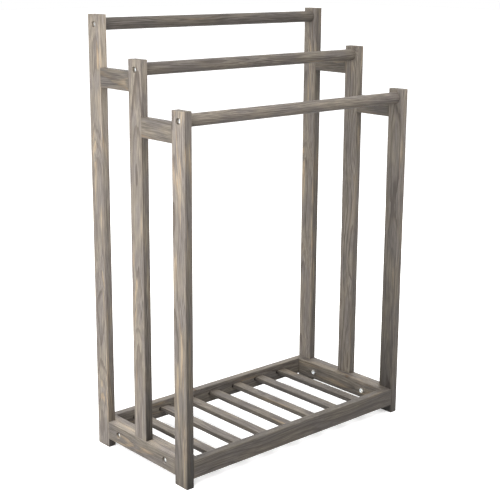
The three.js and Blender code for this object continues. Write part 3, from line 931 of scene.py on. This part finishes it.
def threaded(start, end, core, crest, pitch, tip):
    """Stations of a thread from start up to end, tapering to a point over the tip's length."""
    def winding(place, taper):
        return lambda angle: taper * helix_reach(core, crest, pitch, angle, place)

    count = max(2, round((end - start) / pitch * THREAD_STEPS))
    stations = []
    for i in range(count + 1):
        place = start + (end - start) * i / count
        taper = min(1.0, max(BLUNT_TIP, (place - start) / tip)) if tip else 1.0
        stations.append((place, winding(place, taper)))
    return stations


def cross_recess(at, direction):
    """A tapered cross, as two blades, that the driver bites into."""
    turn = turned_to(direction)
    floor = SCREW_HEAD_HEIGHT - CROSS_DEPTH
    top = SCREW_HEAD_HEIGHT + OVERCUT
    outline = []
    wide, thin = CROSS_WIDTH / 2, CROSS_BLADE / 2
    for quarter in range(4):
        spin = Matrix.Rotation(quarter * math.pi / 2, 2)
        for corner in ((wide, -thin), (wide, thin), (thin, thin)):
            outline.append(spin @ Vector(corner))
    count = len(outline)
    points = []
    for place, shrink in ((floor, CROSS_TAPER), (top, 1.0 + OVERCUT / CROSS_DEPTH * 0.25)):
        points += [turn @ Vector((c.x * shrink, c.y * shrink, place)) + Vector(at) for c in outline]
    faces = [tuple(reversed(range(count))), tuple(range(count, 2 * count))]
    for i in range(count):
        k = (i + 1) % count
        faces.append((i, k, count + k, count + i))
    return points, faces


def join_shells(name, meshes):
    """Several closed shells of one forged piece, as one mesh."""
    joined = bmesh.new()
    for mesh in meshes:
        joined.from_mesh(mesh)
    result = bpy.data.meshes.new(name)
    joined.to_mesh(result)
    joined.free()
    return result


def bar_screw(name, at, direction):
    """Head seated at its point, with the thread running back from it."""
    shank = threaded(-SCREW_LENGTH, -PLAIN_SHANK, SCREW_CORE, SCREW_RADIUS, SCREW_PITCH, SCREW_TIP)
    shank += [(place, SCREW_CORE + PLAIN_EXTRA) for place in (-PLAIN_SHANK + RUN_OUT, -UNDER_HEAD)]
    shank_mesh = turned_metal(name + "_shank", at, direction, shank, THREAD_SIDES)
    full = SCREW_HEAD_RADIUS
    head = [(-HEAD_DIP, full * DIP_WIDTH), (0.0, full * HEAD_EDGE)]
    head += [(SCREW_BREAK, full), (SCREW_RIM * 0.6, full)]
    head += dome_stations(full, SCREW_RIM, SCREW_HEAD_HEIGHT)
    head_mesh = turned_metal(name + "_head", at, direction, head, HEAD_SIDES)
    return join_shells(name, [shank_mesh, cut_from(head_mesh, [cross_recess(at, direction)])])


zinc = zinc_plate("bright_zinc")
for side, sign in SIDES.items():
    for row in ROWS:
        node = f"{side}_{row}_bar_screw"
        middle = centre_of(node)
        at = (side_face(node, sign) - sign * SCREW_HEAD_HEIGHT, middle.y, middle.z)
        mesh = bar_screw(node + "_steel", at, (sign, 0, 0))
        finish_piece(node + "_steel", mesh, zinc, node)

# ---- Shelf bolts and nuts -----------------------------------------------------------------------
# Zinc-plated coach bolts with a low domed head and a square neck that bites in the wood, so they
# can't turn while the hexagon nut is tightened on the inner face of the shelf's end rail.

BOLT_RADIUS = 0.003
BOLT_ROOT = 0.00255
BOLT_PITCH = 0.001
BOLT_HEAD_RADIUS = 0.0063
BOLT_HEAD_HEIGHT = 0.0028
BOLT_RIM = 0.0007
BOLT_BREAK = 0.00015
BOLT_CREST = 0.985  # the thread's radius, as part of the full one
BOLT_END = 0.9  # the radius of the bolt's end, as part of its root's
BOLT_SIDES = 32
BOLT_PLAIN = 0.95  # the plain shank's radius, as part of the full one
NECK_LENGTH = 0.004
NECK_EASE = 1.32  # where the square's corners are cut off, as part of its half width
BOLT_THREAD = 0.018
NUT_FLAT = 0.005
NUT_THICK = 0.005
NUT_BEVEL_RADIUS = 0.00485
NUT_SIDES = 72
NUT_FIT = 0.00012  # room between bolt and nut
NUT_LIP = 0.0004
BEVEL_SLOPE = math.tan(math.radians(30))


def square_reach(angle, half, ease):
    """Distance from the middle of an eased square to its edge."""
    flat = half / max(abs(math.cos(angle)), abs(math.sin(angle)))
    return min(flat, half * ease)


def coach_bolt(name, at, direction, end):
    """Head seated at its point, with the bolt running back from it to its end."""
    thread = threaded(end, end + BOLT_THREAD, BOLT_ROOT, BOLT_RADIUS * BOLT_CREST, BOLT_PITCH, 0)
    thread[0] = (end, BOLT_ROOT * BOLT_END)
    plain = (end + BOLT_THREAD + RUN_OUT, -NECK_LENGTH - RUN_OUT)
    plain = [(place, BOLT_RADIUS * BOLT_PLAIN) for place in plain]
    neck = [(place, lambda angle: square_reach(angle, BOLT_RADIUS, NECK_EASE))
            for place in (-NECK_LENGTH, -UNDER_HEAD)]
    full = BOLT_HEAD_RADIUS
    head = [(0.0, full * HEAD_EDGE), (BOLT_BREAK, full), (BOLT_RIM * 0.7, full)]
    head += dome_stations(full, BOLT_RIM, BOLT_HEAD_HEIGHT)
    shank = turned_metal(name + "_shank", at, direction, thread + plain + neck, BOLT_SIDES)
    cap = turned_metal(name + "_cap", at, direction, head, HEAD_SIDES)
    return join_shells(name, [shank, cap])


def hexagon_nut(name, at, direction):
    """A hexagon with both faces turned to a bevel, bored through, lying from its point outwards."""
    turn = turned_to(direction)
    bore = BOLT_RADIUS + NUT_FIT
    lip = bore + NUT_LIP
    profile = []
    for i in range(NUT_SIDES):
        angle = 2 * math.pi * i / NUT_SIDES
        corner = NUT_FLAT / math.cos((angle + math.pi / 6) % (math.pi / 3) - math.pi / 6)
        drop = (corner - NUT_BEVEL_RADIUS) * BEVEL_SLOPE
        column = [
            (lip, 0), (NUT_BEVEL_RADIUS, 0), (corner, drop), (corner, NUT_THICK - drop),
            (NUT_BEVEL_RADIUS, NUT_THICK), (lip, NUT_THICK), (bore, NUT_THICK - NUT_LIP),
            (bore, NUT_LIP),
        ]
        profile.append([round_point(turn, at, radius, angle, z) for radius, z in column])
    count = len(profile[0])
    points = [point for column in profile for point in column]
    faces = []
    for i in range(NUT_SIDES):
        j = (i + 1) % NUT_SIDES
        for k in range(count):
            m = (k + 1) % count
            faces.append((i * count + k, j * count + k, j * count + m, i * count + m))
    mesh = bpy.data.meshes.new(name)
    mesh.from_pydata(points, [], faces)
    return mesh


for side, sign in SIDES.items():
    for end in ENDS:
        node = f"{side}_{end}_shelf_bolt"
        middle = centre_of(node)
        at = (side_face(node, sign) - sign * BOLT_HEAD_HEIGHT, middle.y, middle.z)
        mesh = coach_bolt(node + "_steel", at, (sign, 0, 0), -abs(at[0] - side_face(node, -sign)))
        finish_piece(node + "_steel", mesh, zinc, node)
        nut = f"{side}_{end}_shelf_nut"
        seat = (side_face(nut, sign), middle.y, middle.z)
        mesh = hexagon_nut(nut + "_steel", seat, (-sign, 0, 0))
        finish_piece(nut + "_steel", mesh, zinc, nut)

# ---- Studio -------------------------------------------------------------------------------------
# A plain white floor, a large soft lamp on the left, a small one high in front, an even light from
# overhead, weak fills behind and on the right, and a white surround.

FLOOR_SIZE = 40.0
WHITE = (1, 1, 1, 1)
PAPER_BOUNCE = (0.2, 0.2, 0.2, 1)
PAPER_GLOW = 0.45
OVERHEAD_POWER = 2.45
OVERHEAD_SPREAD = 100  # degrees
SURROUND_LIGHT = 0.2


def seen_directly(tree):
    """1 for light that goes straight to the eye or by way of a shine, and 0 for all other light."""
    ray = step(tree, "LightPath").outputs
    return calc(tree, "MAXIMUM", ray["Is Camera Ray"], ray["Is Glossy Ray"])


def matt_white(name):
    """White paper. Light that bounces off it is held down, so that it doesn't wash out the fronts."""
    material, tree, surface = new_finish(name)
    place = step(tree, "TexCoord").outputs["Object"]
    cloud = speckle(tree, place, (1.5, 1.5))
    paper = blend(tree, cloud, (0.90, 0.90, 0.90, 1), (0.92, 0.92, 0.92, 1))
    looked_at = seen_directly(tree)
    tree.links.new(blend(tree, looked_at, PAPER_BOUNCE, paper), surface.inputs["Base Color"])
    surface.inputs["Emission Color"].default_value = WHITE
    tree.links.new(times(tree, looked_at, PAPER_GLOW), surface.inputs["Emission Strength"])
    surface.inputs["Roughness"].default_value = 0.9
    surface.inputs["Specular IOR Level"].default_value = 0.1
    return material


floor_mesh = bpy.data.meshes.new("studio_floor")
corners = ((-1, -1), (1, -1), (1, 1), (-1, 1))
corners = [(x * FLOOR_SIZE / 2, y * FLOOR_SIZE / 2, 0) for x, y in corners]
floor_mesh.from_pydata(corners, [], [(0, 1, 2, 3)])
floor_mesh.materials.append(matt_white("matt_white_floor"))
floor = bpy.data.objects.new("studio_floor", floor_mesh)
bpy.context.scene.collection.objects.link(floor)


def soft_lamp(name, at, aim, size, power):
    lamp = bpy.data.lights.new(name, "AREA")
    lamp.shape = "RECTANGLE"
    lamp.size, lamp.size_y = size
    lamp.energy = power
    hung = bpy.data.objects.new(name, lamp)
    hung.location = at
    hung.rotation_mode = "QUATERNION"
    hung.rotation_quaternion = (Vector(aim) - Vector(at)).to_track_quat("-Z", "Y")
    bpy.context.scene.collection.objects.link(hung)


soft_lamp("left_lamp", (-1.9, -0.35, 0.85), (0.0, 0.0, 0.5), (1.6, 1.4), 46)
soft_lamp("front_lamp", (-0.1, -1.15, 1.5), (0.0, 0.0, 0.7), (0.6, 0.5), 9)
soft_lamp("right_fill", (2.3, 0.7, 1.0), (0.0, 0.0, 0.5), (1.6, 1.4), 32)
soft_lamp("back_fill", (0.5, 2.4, 1.2), (0.0, 0.0, 0.5), (1.6, 1.2), 24)

skylight = bpy.data.lights.new("overhead_light", "SUN")
skylight.energy = OVERHEAD_POWER
skylight.angle = math.radians(OVERHEAD_SPREAD)
overhead = bpy.data.objects.new("overhead_light", skylight)
overhead.rotation_mode = "QUATERNION"
overhead.rotation_quaternion = Vector((0.35, 0.05, -0.93)).to_track_quat("-Z", "Y")
bpy.context.scene.collection.objects.link(overhead)

surround = bpy.data.worlds.new("white_surround")
surround.use_nodes = True
sky = surround.node_tree
sky.nodes["Background"].inputs["Color"].default_value = WHITE
sky.nodes["Background"].inputs["Strength"].default_value = SURROUND_LIGHT
seen = step(sky, "Background", {"Color": WHITE, "Strength": 1.0})
choose = step(sky, "MixShader", {0: seen_directly(sky)})
sky.links.new(sky.nodes["Background"].outputs[0], choose.inputs[1])
sky.links.new(seen.outputs[0], choose.inputs[2])
sky.links.new(choose.outputs[0], sky.nodes["World Output"].inputs["Surface"])
bpy.context.scene.world = surround
bpy.context.scene.view_settings.view_transform = "Standard"

CAMERA_AT = (-1.565, -1.748, 1.011)
CAMERA_YAW, CAMERA_PITCH, CAMERA_ROLL = 41.63, 13.13, 0.34  # degrees
LENS = 80.4
SENSOR_WIDTH = 36.0
SHIFT_Y = -0.05

lens = bpy.data.cameras.new("camera")
lens.lens = LENS
lens.sensor_width = SENSOR_WIDTH
lens.shift_y = SHIFT_Y
camera = bpy.data.objects.new("camera", lens)
camera.location = CAMERA_AT
yaw, pitch = math.radians(CAMERA_YAW), math.radians(CAMERA_PITCH)
ahead = Vector((math.sin(yaw) * math.cos(pitch), math.cos(yaw) * math.cos(pitch), -math.sin(pitch)))
camera.rotation_mode = "QUATERNION"
roll = Quaternion((0, 0, 1), math.radians(CAMERA_ROLL))
camera.rotation_quaternion = ahead.to_track_quat("-Z", "Y") @ roll
bpy.context.scene.collection.objects.link(camera)
bpy.context.scene.camera = camera
